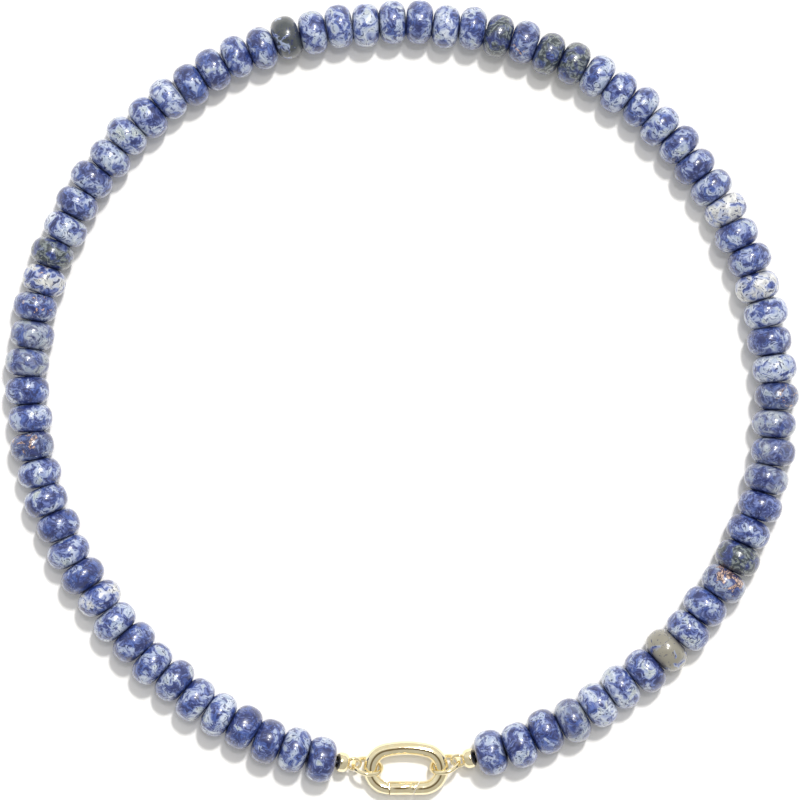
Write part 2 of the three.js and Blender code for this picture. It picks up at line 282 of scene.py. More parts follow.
COLOURS = {
    "vein": (0.06, 0.09, 0.23),
    "light_smear": (0.19, 0.25, 0.55),
    "dark_smear": (0.010, 0.021, 0.13),
    "cobalt": (0.055, 0.122, 0.44),
    "line": (0.012, 0.022, 0.13),
    "core": (0.007, 0.015, 0.105),
    "blotch": (0.028, 0.045, 0.20),
    "mud": (0.19, 0.22, 0.225),
    "fleck": (0.010, 0.017, 0.085),
    # colour of the painted shade between stones
    "painted_seam_shade": (0.015, 0.022, 0.085),
    "strip": (1.02, 1.00, 0.97),
    "spot": (0.17, 0.14, 0.095),
}
COLOUR_PAIRS = {
    "milky": ((0.34, 0.415, 0.575), (0.635, 0.69, 0.775)),
    "greenish": ((0.29, 0.35, 0.38), (0.59, 0.635, 0.625)),
    "creamy": ((0.50, 0.50, 0.49), (0.71, 0.705, 0.665)),
    "dull": ((0.25, 0.235, 0.19), (0.015, 0.026, 0.038)),
    "clay": ((0.06, 0.035, 0.05), (0.66, 0.45, 0.34)),
    "plate": ((0.95, 0.82, 0.515), (0.97, 0.87, 0.61)),
    "thread": ((0.012, 0.014, 0.03), (0.05, 0.055, 0.085)),
    "walls": ((0.54, 0.54, 0.53), (0.82, 0.822, 0.80)),
}
BEND = 3.0  # by how many millimetres the bend moves the other noises
FINE_WEIGHT = 0.20
GRAIN_WEIGHT = 0.55
CLOUD_WEIGHT = 1.5
VEIN_LEVEL = 0.5
CORE_INSIDE = 0.11  # how much deeper than the blue's edge a dark core begins
SOFT_EDGE = 0.08
FLECK_EDGE = 0.06
STONE_IOR = 1.54
STONE_COAT = 0.85
THREAD_ROUGHNESS = 0.7

# The photo's frame: 800 pixels across 145.6 mm, seen from straight above
VIEW_WIDE = 145.6
VIEW_MIDDLE = (-0.375, -0.378)
VIEW_HIGH = 1000
STONE_LEVEL = 4.0
VIEW_REACH = 10
SENSOR = 36
FLOOR_WIDE = 6
FLOOR_COLOUR = (0.95, 0.945, 0.935, 1)
FLOOR_ROUGHNESS = 0.9
LIGHT_TO_RIGHT = 20
LIGHT_COLOUR = (1.0, 0.985, 0.96)
LIGHTS = [
    # name, strength, degrees from upright, degrees across
    ("key", 2.15, 30, 6),
    ("near_camera", 0.38, 13, 7),
]
SPOT_TOWARDS = (0, -0.13, 1)
SPOT_DEGREES = (19.7, 10.7)  # off its middle, where it begins and where it is full


def select_only(piece):
    bpy.ops.object.select_all(action="DESELECT")
    piece.select_set(True)
    bpy.context.view_layer.objects.active = piece


def edit(piece):
    select_only(piece)
    bpy.ops.object.mode_set(mode="EDIT")
    bpy.ops.mesh.select_all(action="DESELECT")


def leave_edit():
    bpy.ops.object.mode_set(mode="OBJECT")


def close_up():
    """In edit mode, joins the points that coincide and turns all faces outwards, then leaves it."""
    bpy.ops.mesh.select_all(action="SELECT")
    bpy.ops.mesh.remove_doubles(threshold=TINY * MM)
    turn_outwards()


def turn_outwards():
    bpy.ops.mesh.select_all(action="SELECT")
    bpy.ops.mesh.normals_make_consistent(inside=False)
    leave_edit()


def select_parts(piece, kind, parts, wanted):
    """In edit mode, selects the faces or edges for which wanted is true, and nothing else."""
    shape = bmesh.from_edit_mesh(piece.data)
    bpy.ops.mesh.select_all(action="DESELECT")
    bpy.ops.mesh.select_mode(type=kind)
    for part in getattr(shape, parts):
        part.select_set(wanted(part))
    bmesh.update_edit_mesh(piece.data)


def select_faces(piece, wanted):
    select_parts(piece, "FACE", "faces", wanted)


def select_edges(piece, wanted):
    select_parts(piece, "EDGE", "edges", wanted)


def is_on_z(face):
    return face.calc_center_median().xy.length < CENTRAL


def place(piece, matrix):
    """Moves a piece to its place and puts that place into its mesh."""
    piece.matrix_world = matrix
    select_only(piece)
    bpy.ops.object.transform_apply(location=True, rotation=True, scale=True)
    return piece


def copy_of(piece, name):
    twin = piece.copy()
    twin.data = piece.data.copy()
    twin.name = name
    bpy.context.scene.collection.objects.link(twin)
    return twin


def joined(pieces, name):
    select_only(pieces[0])
    for piece in pieces:
        piece.select_set(True)
    bpy.ops.object.join()
    pieces[0].name = name
    pieces[0].data.name = name
    return pieces[0]


def cut(piece, other, operation):
    """Joins, cuts or intersects a piece with another one, which it uses up."""
    select_only(piece)
    modifier = piece.modifiers.new("cut", "BOOLEAN")
    modifier.operation = operation
    modifier.solver = "EXACT"
    modifier.object = other
    bpy.ops.object.modifier_apply(modifier=modifier.name)
    bpy.data.objects.remove(other)
    return piece


def smooth(piece, degrees=40):
    select_only(piece)
    bpy.ops.object.shade_smooth_by_angle(angle=math.radians(degrees))
    return piece


def finish_piece(piece, body, material, slot, *nodes):
    piece.data.materials.clear()
    piece.data.materials.append(material)
    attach(piece, body)
    if nodes:
        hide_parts(*nodes)


# The loop and the places along it, in millimetres from the middle of the loop


def loop_point(degrees, mean_radius):
    radius = mean_radius
    for lobes, share, peak in LOOP_LOBES:
        radius += mean_radius * share * math.cos(math.radians(lobes * (degrees - peak)))
    angle = math.radians(degrees)
    return Vector((radius * math.cos(angle), radius * math.sin(angle), 0))


def loop_angle(side, distance, mean_radius):
    """The angle at which the loop passes a distance to one side of the clasp's middle."""
    angle = CLASP_ANGLE
    for _ in range(20):
        radius = loop_point(angle, mean_radius).length
        angle = CLASP_ANGLE + side * math.degrees(math.asin(distance / radius))
    return angle


class ThreadRoute:
    """Along the loop from the left end of the stones clockwise to their right end."""

    STEPS = 2000

    def __init__(self, mean_radius, half_gap):
        start = loop_angle(LEFT, half_gap, mean_radius)
        end = loop_angle(RIGHT, half_gap, mean_radius) - 360
        self.mean_radius = mean_radius
        self.degrees = np.linspace(start, end, self.STEPS + 1)
        points = np.array([loop_point(angle, mean_radius) for angle in self.degrees])
        steps = np.linalg.norm(np.diff(points, axis=0), axis=1)
        self.passed = np.concatenate([[0], np.cumsum(steps)])
        self.length = self.passed[-1]

    def at(self, distance):
        """The point at a distance along the route, and the direction there."""
        degrees = np.interp(distance, self.passed, self.degrees)
        here = loop_point(degrees, self.mean_radius)
        ahead = loop_point(degrees - 0.01, self.mean_radius)
        return here, (ahead - here).normalized()


def route_of_length(length, half_gap):
    mean_radius = (length + 2 * half_gap) / (2 * math.pi)
    for _ in range(12):
        route = ThreadRoute(mean_radius, half_gap)
        mean_radius += (length - route.length) / (2 * math.pi)
    return route


ring_reach = (RING_HOLE + RING_WIRE) / 2
ring_at = CLASP_LONG / 2 - CLASP_WIRE - RING_SLACK + RING_HOLE / 2
eye_at = ring_at + ring_reach
eye_to_cap = (EYE_HOLE + CAP_THICK) / 2
cap_at = eye_at + eye_to_cap
stones_at = cap_at + CAP_THICK / 2 + THREAD_SHOWS

sizes = [
    (thick * STONE_THICK, wide * STONE_WIDE)
    for stones, thick, wide in STONE_RUNS
    for _ in range(stones)
]
string_length = sum(thick for thick, _ in sizes)
route = route_of_length(string_length, stones_at)

ring_high = ring_reach * math.sin(math.radians(RING_TILT)) + RING_WIRE / 2
cap_high = ring_high + eye_to_cap * math.sin(math.radians(CAP_PITCH))

end_radius = (CLASP_WIDE - CLASP_WIRE - CLASP_BOW) / 2
straight = (CLASP_LONG - CLASP_WIRE) / 2 - end_radius
back_reach = (straight**2 + CLASP_BOW**2) / (2 * CLASP_BOW)
back_middle = CLASP_BOW - back_reach
back_turn = math.asin(straight / back_reach)
pin_x = -PIN_ALONG
pin_y = PIN_INWARD - end_radius

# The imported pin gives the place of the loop's middle.
pin_low, pin_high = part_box("gate_pin")
pin_place = (pin_low + pin_high) / (2 * MM)
clasp_place = pin_place - Vector((pin_x, pin_y, 0))
loop_place = clasp_place - loop_point(CLASP_ANGLE, route.mean_radius + CLASP_SAG)
loop_place.z = 0


def place_stones():
    """Each stone's middle, its axis along the thread, its thickness and its width."""
    placed = []
    passed = 0
    for number, (thick, wide) in enumerate(sizes):
        middle, axis = route.at(passed + thick / 2)
        passed += thick
        out, turn = STONE_SWAY[number % len(STONE_SWAY)]
        middle = middle + UP.cross(axis) * out * wide + loop_place
        axis = Matrix.Rotation(math.radians(turn), 3, "Z") @ axis
        high = wide / 2
        if number in (0, len(sizes) - 1):
            pitch = math.radians(END_STONE_PITCH if number == 0 else -END_STONE_PITCH)
            axis = Matrix.Rotation(pitch, 3, axis.cross(UP).normalized()) @ axis
            high = max(
                (wide * out * math.cos(pitch) + thick * along * abs(math.sin(pitch))) / 2
                for along, out in STONE_RIM
            )
        middle.z = high
        placed.append((middle, axis.normalized(), thick, wide))
    return placed


def place_cap(side):
    """An end cap's middle, and its axis towards the clasp."""
    middle = loop_point(loop_angle(side, cap_at, route.mean_radius), route.mean_radius)
    nearer = loop_point(loop_angle(side, eye_at, route.mean_radius), route.mean_radius)
    level = (nearer - middle).normalized()
    dip = math.radians(CAP_PITCH)
    middle += loop_place
    middle.z = cap_high
    return middle, level * math.cos(dip) - UP * math.sin(dip)


def frame_along(axis, place_mm, size=(1, 1, 1)):
    """A matrix whose Z runs along an axis and whose Y is up."""
    across = UP.cross(axis).normalized()
    over = axis.cross(across)
    turned = Matrix((across, over, axis)).transposed().to_4x4()
    return Matrix.Translation(place_mm * MM) @ turned @ Matrix.Diagonal((*size, 1))


def leaning_frame(along, side, place_mm):
    """A matrix whose X runs along and whose Z leans from upright as the jump rings do."""
    level = UP.cross(along).normalized()
    over = along.cross(level)
    lean = math.radians(RING_TILT)
    raised = over * math.sin(lean) + level * side * math.cos(lean)
    turned = Matrix((along, raised.cross(along), raised)).transposed().to_4x4()
    return Matrix.Translation(place_mm * MM) @ turned


# Materials


def new_material(name):
    material = bpy.data.materials.new(name)
    material.use_nodes = True
    tree = material.node_tree
    return material, tree, tree.nodes["Principled BSDF"]


def add(tree, kind, **settings):
    node = tree.nodes.new(kind)
    for setting, value in settings.items():
        setattr(node, setting, value)
    return node


def wire(tree, source, target):
    tree.links.new(source, target)


def maths(tree, operation, first, second=None, third=None, clamp=False):
    node = add(tree, "ShaderNodeMath", operation=operation, use_clamp=clamp)
    for socket, value in zip(node.inputs, (first, second, third)):
        if value is None:
            continue
        if isinstance(value, (int, float)):
            socket.default_value = value
        else:
            wire(tree, value, socket)
    return node.outputs[0]


def product(tree, first, second):
    return maths(tree, "MULTIPLY", first, second)


def by_rule(tree, value, name):
    return maths(tree, "MULTIPLY_ADD", value, *RULES[name])


def noise(tree, vector, name):
    scale, detail, roughness = NOISES[name]
    node = add(tree, "ShaderNodeTexNoise")
    node.inputs["Scale"].default_value = scale
    node.inputs["Detail"].default_value = detail
    node.inputs["Roughness"].default_value = roughness
    wire(tree, vector, node.inputs["Vector"])
    return node


def noise_level(tree, vector, name):
    """How strong a noise is."""
    return noise(tree, vector, name).outputs["Fac"]


def ramp_between(tree, value, low, high):
    """A smooth mask that goes from 0 at low to 1 at high. The two ends may be numbers or sockets."""
    node = add(tree, "ShaderNodeMapRange", interpolation_type="SMOOTHSTEP")
    wire(tree, value, node.inputs["Value"])
    for socket, end in (("From Min", low), ("From Max", high)):
        if isinstance(end, (int, float)):
            node.inputs[socket].default_value = end
        else:
            wire(tree, end, node.inputs[socket])
    return node.outputs["Result"]


def mask(tree, value, name):
    return ramp_between(tree, value, *MASKS[name])


def mixed(tree, share, first, second):
    """A colour between two others, each a colour or a socket."""
    node = add(tree, "ShaderNodeMix", data_type="RGBA")
    wire(tree, share, node.inputs[0])
    for socket, colour in ((node.inputs[6], first), (node.inputs[7], second)):
        if isinstance(colour, tuple):
            socket.default_value = (*colour, 1)
        else:
            wire(tree, colour, socket)
    return node.outputs[2]


def millimetres(tree):
    """The place on the object in millimetres."""
    place_node = add(tree, "ShaderNodeTexCoord")
    scaled = add(tree, "ShaderNodeMapping")
    scaled.inputs["Scale"].default_value = (1 / MM, 1 / MM, 1 / MM)
    wire(tree, place_node.outputs["Object"], scaled.inputs["Vector"])
    return scaled.outputs["Vector"]


def add_bump(tree, shader, height, strength, deep):
    bump = add(tree, "ShaderNodeBump")
    bump.inputs["Strength"].default_value = strength
    bump.inputs["Distance"].default_value = deep * MM
    wire(tree, height, bump.inputs["Height"])
    wire(tree, bump.outputs["Normal"], shader.inputs["Normal"])


class StoneLook:
    """The fields that make a stone's pattern, and the layers of its colour from the ground up."""

    def __init__(self, tree):
        self.tree = tree
        kind = add(tree, "ShaderNodeAttribute", attribute_name="stone_kind")
        parts = add(tree, "ShaderNodeSeparateColor")
        wire(tree, kind.outputs["Color"], parts.inputs[0])
        self.cover, self.depth, self.grey = parts.outputs
        self.rust = kind.outputs["Alpha"]
        self.here = self.bent_place()
        self.clouds = self.level("clouds")
        self.grain = self.level("grain")
        self.fine = self.level("fine")
        self.tint = self.level("tint")
        self.cream = maths(tree, "MULTIPLY", self.grey, -1, clamp=True)
        self.vein_share = by_rule(tree, self.cream, "vein_share")
        # The stone is blue where the field is stronger than the edge.
        field = product(tree, self.clouds, CLOUD_WEIGHT)
        field = maths(tree, "MULTIPLY_ADD", self.grain, GRAIN_WEIGHT, field)
        self.field = maths(tree, "MULTIPLY_ADD", self.fine, FINE_WEIGHT, field)
        self.edge = by_rule(tree, self.cover, "blue_edge")
        self.into = maths(tree, "SUBTRACT", self.field, self.edge)
        fleck_edge = by_rule(tree, self.depth, "fleck_edge")
        self.flecks = self.above(self.level("flecks"), fleck_edge, FLECK_EDGE)

    def bent_place(self):
        """The place on the stone, moved by the stone's own seed and bent by a slow noise."""
        seed = add(self.tree, "ShaderNodeAttribute", attribute_name="stone_seed")
        own = add(self.tree, "ShaderNodeVectorMath", operation="ADD")
        wire(self.tree, millimetres(self.tree), own.inputs[0])
        wire(self.tree, seed.outputs["Vector"], own.inputs[1])
        bent = add(self.tree, "ShaderNodeVectorMath", operation="MULTIPLY_ADD")
        bend = noise(self.tree, own.outputs[0], "bend")
        wire(self.tree, bend.outputs["Color"], bent.inputs[0])
        bent.inputs[1].default_value = (BEND, BEND, BEND)
        wire(self.tree, own.outputs[0], bent.inputs[2])
        return bent.outputs[0]

    def level(self, name):
        return noise_level(self.tree, self.here, name)

    def mask(self, value, name):
        return mask(self.tree, value, name)

    def above(self, value, edge, softness):
        """A mask of where a value is over an edge that varies."""
        return ramp_between(self.tree, value, edge, maths(self.tree, "ADD", edge, softness))

    def mixed_pair(self, share, name):
        return mixed(self.tree, share, *COLOUR_PAIRS[name])

    def paint(self, under, colour, share, *further_shares):
        """A colour over another one, as strong as the product of its shares."""
        for further in further_shares:
            share = product(self.tree, share, further)
        return mixed(self.tree, share, under, colour)

    def ground(self):
        """Milky, greenish or cream, with fine blue-grey veins."""
        milk = self.mask(self.grain, "milk")
        milky = self.mixed_pair(milk, "milky")
        creamy = self.mixed_pair(milk, "creamy")
        greenish = self.mixed_pair(self.mask(self.fine, "green"), "greenish")
        colour = self.paint(milky, greenish, self.mask(self.tint, "greenish"))
        colour = self.paint(colour, creamy, self.cream)
        off_vein = maths(self.tree, "SUBTRACT", self.level("veins"), VEIN_LEVEL)
        vein = self.mask(maths(self.tree, "ABSOLUTE", off_vein), "vein")
        gaps = self.mask(self.fine, "vein_gaps")
        return self.paint(colour, COLOURS["vein"], vein, gaps, self.vein_share)

    def blue(self, under):
        """Through haze to blue and to navy, with smears of lighter, darker and cobalt blue."""
        depths = add(self.tree, "ShaderNodeValToRGB")
        wire(self.tree, by_rule(self.tree, self.into, "place_in_depths"), depths.inputs[0])
        stops = depths.color_ramp.elements
        stops[0].position = BLUE_DEPTHS[0][0]
        stops[1].position = BLUE_DEPTHS[1][0]
        for position, _ in BLUE_DEPTHS[2:]:
            stops.new(position)
        for stop, (_, colour) in zip(stops, BLUE_DEPTHS):
            stop.color = (*colour, 1)
        blue = self.paint(under, depths.outputs["Color"], self.mask(self.into, "haze"))
        smears = self.level("smears")
        for name, value in (("light_smear", smears), ("dark_smear", smears), ("cobalt", self.tint)):
            deep = self.mask(self.into, name + "_depth")
            blue = self.paint(blue, COLOURS[name], self.mask(value, name), deep, STRENGTHS[name])
        return blue

    def darks(self, under):
        """Dark lines where the blue begins, darker cores in its depth, and blotches anywhere."""
        begins = self.mask(self.into, "line_begins")
        ends = self.mask(self.into, "line_ends")
        gaps = self.mask(self.fine, "line_gaps")
        lined = self.paint(under, COLOURS["line"], begins, ends, gaps, STRENGTHS["line"])
        core_edge = maths(
            self.tree,
            "MAXIMUM",
            maths(self.tree, "ADD", self.edge, CORE_INSIDE),
            by_rule(self.tree, self.depth, "core_level"),
        )
        cores = self.above(self.field, core_edge, SOFT_EDGE)
        gaps = self.mask(self.fine, "core_gaps")
        cored = self.paint(lined, COLOURS["core"], cores, gaps, STRENGTHS["core"])
        blotch = self.mask(self.level("blotches"), "blotch")
        return self.paint(cored, COLOURS["blotch"], blotch, self.vein_share)

    def grey_and_rust(self, under):
        """Grey or grey-green mottling, and clay-coloured rust."""
        mottle = self.mask(self.level("mottle"), "mottle")
        dull = self.mixed_pair(self.depth, "dull")
        mud = self.paint(dull, COLOURS["mud"], mottle, self.mask(self.grey, "mottled_kinds"))
        clouds = self.mask(self.clouds, "grey_clouds")
        greyed = self.paint(under, mud, maths(self.tree, "MULTIPLY", self.grey, clouds, clamp=True))
        clay = self.mixed_pair(self.mask(self.fine, "clay"), "clay")
        rust_edge = by_rule(self.tree, self.rust, "rust_edge")
        rusty = self.above(self.level("rust"), rust_edge, SOFT_EDGE)
        return self.paint(greyed, clay, rusty, self.mask(self.rust, "rusty_kinds"))

    def flecks_and_painted_seam_shade(self, under):
        """Dark flecks, and painted shade where two stones meet."""
        flecked = self.paint(under, COLOURS["fleck"], self.flecks, STRENGTHS["fleck"])
        # painted shade: darker towards the faces that touch the next stone
        near_face = add(self.tree, "ShaderNodeAttribute", attribute_name="near_face").outputs["Fac"]
        return self.paint(flecked, COLOURS["painted_seam_shade"], self.mask(near_face, "painted_seam_shade"), STRENGTHS["painted_seam_shade"])


def stone_material():
    """Milky, greenish or cream stone with patches of blue, dark flecks, and grey or rust in some stones."""
    material, tree, shader = new_material("blue_spot_stone")
    stone = StoneLook(tree)
    colour = stone.ground()
    for layer in (stone.blue, stone.darks, stone.grey_and_rust, stone.flecks_and_painted_seam_shade):
        colour = layer(colour)
    wire(tree, colour, shader.inputs["Base Color"])
    # A soft polish under a glassy one
    wire(tree, by_rule(tree, stone.grain, "stone_roughness"), shader.inputs["Roughness"])
    shader.inputs["IOR"].default_value = STONE_IOR
    shader.inputs["Coat Weight"].default_value = STONE_COAT
    wire(tree, by_rule(tree, stone.fine, "coat_roughness"), shader.inputs["Coat Roughness"])
    add_bump(tree, shader, maths(tree, "ADD", stone.fine, stone.flecks), strength=0.25, deep=0.02)
    return material


def gold_material():
    """Polished pale gold plate with fine rubbing marks."""
    material, tree, shader = new_material("pale_gold_plate")
    here = millimetres(tree)
    clouds = mask(tree, noise_level(tree, here, "plate"), "plate")
    wire(tree, mixed(tree, clouds, *COLOUR_PAIRS["plate"]), shader.inputs["Base Color"])
    shader.inputs["Metallic"].default_value = 1
    stretched = add(tree, "ShaderNodeMapping")
    stretched.inputs["Scale"].default_value = (1.2, 9, 4)
    stretched.inputs["Rotation"].default_value = (0.3, 0.2, 0.5)
    wire(tree, here, stretched.inputs["Vector"])
    marks = noise_level(tree, stretched.outputs["Vector"], "rub_marks")
    wire(tree, by_rule(tree, marks, "plate_roughness"), shader.inputs["Roughness"])
    add_bump(tree, shader, marks, strength=0.12, deep=0.01)
    return material


def thread_material():
    """Dark twisted beading thread."""
    material, tree, shader = new_material("beading_thread")
    fibres = noise_level(tree, millimetres(tree), "fibres")
    wire(tree, mixed(tree, fibres, *COLOUR_PAIRS["thread"]), shader.inputs["Base Color"])
    shader.inputs["Roughness"].default_value = THREAD_ROUGHNESS
    return material


# Pieces


def model_bead(name, round_share, squareness):
    """A drilled stone round Z, made from a cylinder with its two rims rounded off. Its mesh knows how near
    each point is to the faces that touch the next stone."""
    radius = STONE_WIDE / 2 / ROUNDING_REACH
    hole = HOLE_WIDE / 2 / ROUNDING_REACH
    bpy.ops.mesh.primitive_cylinder_add(vertices=STONE_SIDES, radius=radius, depth=STONE_THICK)
    bead = bpy.context.object
    bead.name = name
    edit(bead)
    select_edges(bead, lambda edge: abs(edge.verts[0].co.z - edge.verts[1].co.z) < TINY)
    rounding = round_share * STONE_THICK / 2
    bpy.ops.mesh.bevel(
        offset=rounding, segments=ROUNDING_STEPS, profile=squareness, affect="EDGES", clamp_overlap=False
    )
    select_faces(bead, lambda face: abs(face.normal.z) > FLAT and is_on_z(face))
    bpy.ops.mesh.inset(thickness=radius - rounding - (1 + HOLE_RIM) * hole, depth=0)
    bpy.ops.mesh.inset(thickness=HOLE_RIM * hole, depth=-HOLE_SINKS)
    bpy.ops.mesh.delete(type="FACE")
    select_edges(bead, lambda edge: edge.is_boundary)
    bpy.ops.mesh.bridge_edge_loops()
    turn_outwards()
    near = bead.data.attributes.new("near_face", "FLOAT", "POINT")
    near.data.foreach_set("value", [abs(vertex.co.z) * 2 / STONE_THICK for vertex in bead.data.vertices])
    place(bead, Matrix.Diagonal((ROUNDING_REACH * MM, ROUNDING_REACH * MM, MM, 1)))
    return smooth(bead, 50)


def mark_stone(stone, kind, seed, middle, rust_faces):
    """Writes what a stone looks like into its mesh, where the material reads it. Rust is only on the side
    that rust_faces points to."""
    cover, depth, grey, rust = kind
    colours = []
    for vertex in stone.data.vertices:
        faces = (vertex.co - middle * MM).normalized().dot(rust_faces)
        rusty = min(max((faces - RUST_FROM) / RUST_SPREAD, 0), 1)
        colours.extend((cover, depth, grey, rust * rusty))
    look = stone.data.attributes.new("stone_kind", "FLOAT_COLOR", "POINT")
    look.data.foreach_set("color", colours)
    own = stone.data.attributes.new("stone_seed", "FLOAT_VECTOR", "POINT")
    own.data.foreach_set("vector", list(seed) * len(stone.data.vertices))


def make_stones(material):
    chooser = random.Random(11)
    forms = [model_bead("stone_form", share, squareness) for share, squareness in STONE_FORMS]
    strings = ([], [])
    for number, (middle, axis, thick, wide) in enumerate(place_stones()):
        stone = copy_of(forms[chooser.randrange(len(forms))], "stone")
        cover, *others = STONE_KINDS[STONE_CHART[number]]
        cover += chooser.uniform(-KIND_SPREAD, KIND_SPREAD)
        seed = [chooser.uniform(-SEED_REACH, SEED_REACH) for _ in range(3)]
        size = (wide / STONE_WIDE, wide / STONE_WIDE, thick / STONE_THICK)
        turned = Matrix.Rotation(chooser.uniform(0, 2 * math.pi), 4, "Z")
        place(stone, frame_along(axis, middle, size) @ turned)
        rust_faces = Vector(RUST_SPOTS.get(number, UP)).normalized()
        mark_stone(stone, (cover, *others), seed, middle, rust_faces)
        strings[number >= LEFT_STONES].append(stone)
    for form in forms:
        bpy.data.objects.remove(form)
    for stones, word in zip(strings, ("left", "right")):
        string = joined(stones, word + "_stones")
        finish_piece(string, "necklace", material, "stone", "stone_string_" + word)


def model_knot(side):
    """The thread's knot in an end cap's cup."""
    middle, axis = place_cap(side)
    deep = THREAD_ENTERS - KNOT_DEEP
    bpy.ops.mesh.primitive_uv_sphere_add(
        segments=KNOT_SIDES, ring_count=KNOT_RINGS, radius=KNOT_WIDE / 2 * MM
    )
    knot = bpy.context.object
    centre = middle - axis * (CAP_THICK / 2 - KNOT_DEEP - deep / 2)
    return place(knot, frame_along(axis, centre, (1, 1, deep / KNOT_WIDE)))


def make_thread(material):
    """One thread through all the holes, from inside one end cap to inside the other."""
    ends = []
    for side in (LEFT, RIGHT):
        middle, axis = place_cap(side)
        ends.append(middle - axis * (CAP_THICK / 2 - THREAD_ENTERS))
    points = [ends[0]]
    placed = place_stones()
    for middle, axis, thick, _ in placed:
        points.append(middle - axis * thick / 2)
        points.append(middle + axis * thick / 2)
    points.append(ends[1])
    line = bpy.data.curves.new("thread", "CURVE")
    line.dimensions = "3D"
    line.bevel_depth = THREAD_WIDE / 2 * MM
    line.bevel_resolution = 3
    line.use_fill_caps = True
    spline = line.splines.new("POLY")
    spline.points.add(len(points) - 1)
    for point, at in zip(spline.points, points):
        point.co = (*(at * MM), 1)
    thread = bpy.data.objects.new("thread", line)
    bpy.context.scene.collection.objects.link(thread)
    select_only(thread)
    bpy.ops.object.convert(target="MESH")
    pieces = [bpy.context.object]
    for side in (LEFT, RIGHT):
        pieces.append(model_knot(side))
    finish_piece(smooth(joined(pieces, "thread"), 60), "necklace", material, "stone")


def wire_ring(name, reach, thick, degrees, steps, sides):
    """A ring of round wire round Z, from +X on, open where degrees is under 360."""
    bpy.ops.mesh.primitive_circle_add(
        vertices=sides,
        radius=thick / 2 * MM,
        fill_type="NGON" if degrees < 360 else "NOTHING",
        location=(reach * MM, 0, 0),
        rotation=(math.pi / 2, 0, 0),
    )
    ring = bpy.context.object
    ring.name = name
    bpy.ops.object.transform_apply(location=True, rotation=True, scale=True)
    edit(ring)
    bpy.ops.mesh.select_all(action="SELECT")
    bpy.ops.mesh.spin(steps=steps, angle=math.radians(degrees), center=(0, 0, 0), axis=(0, 0, 1))
    close_up()
    return ring


def make_jump_ring(side, word, material):
    cap_middle, cap_axis = place_cap(side)
    eye = cap_middle + cap_axis * eye_to_cap
    into = clasp_place + Vector((side * (ring_at - ring_reach), 0, 0))
    into.z = eye.z
    along = (into - eye).normalized()
    ring = wire_ring(word + "_jump_ring", ring_reach, RING_WIRE, RING_SWEEP, RING_STEPS, RING_SIDES)
    # The ring is made round Z with its cut at +X. It is turned round Z, then set up in its frame's X and Z.
    turned = Matrix.Rotation(math.radians(RING_CUT_AT), 4, "Z")
    upright = Matrix.Rotation(math.radians(90), 4, "X")
    place(ring, leaning_frame(along, side, eye + along * ring_reach) @ (upright @ turned))
    finish_piece(smooth(ring, 50), "necklace", material, "gold_plate", "jump_ring_" + word)


def model_cup(name):
    """An end cap's round cup, round Z, with its mouth at -Z."""
    bpy.ops.mesh.primitive_cylinder_add(vertices=CAP_SIDES, radius=CAP_WIDE / 2, depth=CAP_THICK)
    cup = bpy.context.object
    cup.name = name
    for end, rounding in ((1, CAP_ROUNDING), (-1, CAP_LIP)):
        edit(cup)
        height = end * CAP_THICK / 2
        select_edges(cup, lambda edge: all(abs(vert.co.z - height) < TINY for vert in edge.verts))
        bpy.ops.mesh.bevel(
            offset=rounding, segments=ROUNDING_STEPS, profile=0.5, affect="EDGES", clamp_overlap=False
        )
        leave_edit()
    edit(cup)
    select_faces(cup, lambda face: face.normal.z < -FLAT and is_on_z(face))
    bpy.ops.mesh.inset(thickness=CAP_WIDE / 2 - CAP_LIP - CAP_BORE / 2, depth=0)
    bpy.ops.mesh.extrude_region_move(TRANSFORM_OT_translate={"value": (0, 0, BORE_DEEP)})
    turn_outwards()
    return place(cup, Matrix.Diagonal((MM, MM, MM, 1)))


def make_end_cap(side, word, material):
    middle, axis = place_cap(side)
    cup = model_cup(word + "_end_cap")
    place(cup, Matrix.Rotation(math.radians(90), 4, "Y"))
    eye = wire_ring("eye", (EYE_HOLE + EYE_WIRE) / 2, EYE_WIRE, 360, EYE_STEPS, EYE_SIDES)
    place(eye, Matrix.Translation((eye_to_cap * MM, 0, 0)))
    cut(cup, eye, "UNION")
    place(cup, leaning_frame(axis, side, middle))
    finish_piece(smooth(cup, 45), "necklace", material, "gold_plate", "end_cap_" + word)


def model_oval(name, wire_wide=CLASP_WIRE):
    """The whole oval of the clasp's wire, round its own middle."""
    start = math.pi / 2 + back_turn
    bpy.ops.mesh.primitive_circle_add(
        vertices=WIRE_SIDES, radius=wire_wide / 2 * MM, rotation=(math.pi / 2, 0, 0)
    )
    oval = bpy.context.object
    oval.name = name
    bpy.ops.object.transform_apply(location=True, rotation=True, scale=True)
    place(oval, Matrix.Translation((-straight * MM, 0, 0)) @ Matrix.Rotation(start, 4, "Z")
          @ Matrix.Translation((end_radius * MM, 0, 0)))
    edit(oval)
    bpy.ops.mesh.select_all(action="SELECT")
    end_sweep = math.pi - back_turn
    bpy.ops.mesh.spin(steps=END_STEPS, angle=end_sweep, center=(-straight * MM, 0, 0), axis=(0, 0, -1))
    bpy.ops.mesh.extrude_region_move(TRANSFORM_OT_translate={"value": (2 * straight * MM, 0, 0)})
    bpy.ops.mesh.spin(steps=END_STEPS, angle=end_sweep, center=(straight * MM, 0, 0), axis=(0, 0, -1))
    bpy.ops.mesh.spin(
        steps=BACK_STEPS, angle=2 * back_turn, center=(0, back_middle * MM, 0), axis=(0, 0, -1)
    )
    close_up()
    return oval


def block(x_from, x_to, y_from, y_to, half_high):
    """A block in millimetres from the clasp's middle."""
    bpy.ops.mesh.primitive_cube_add(size=1)
    made = bpy.context.object
    size = Vector((x_to - x_from, y_to - y_from, 2 * half_high)) * MM
    middle = Vector((x_from + x_to, y_from + y_to, 0)) / 2 * MM
    return place(made, Matrix.Translation(middle) @ Matrix.Diagonal((*size, 1)))


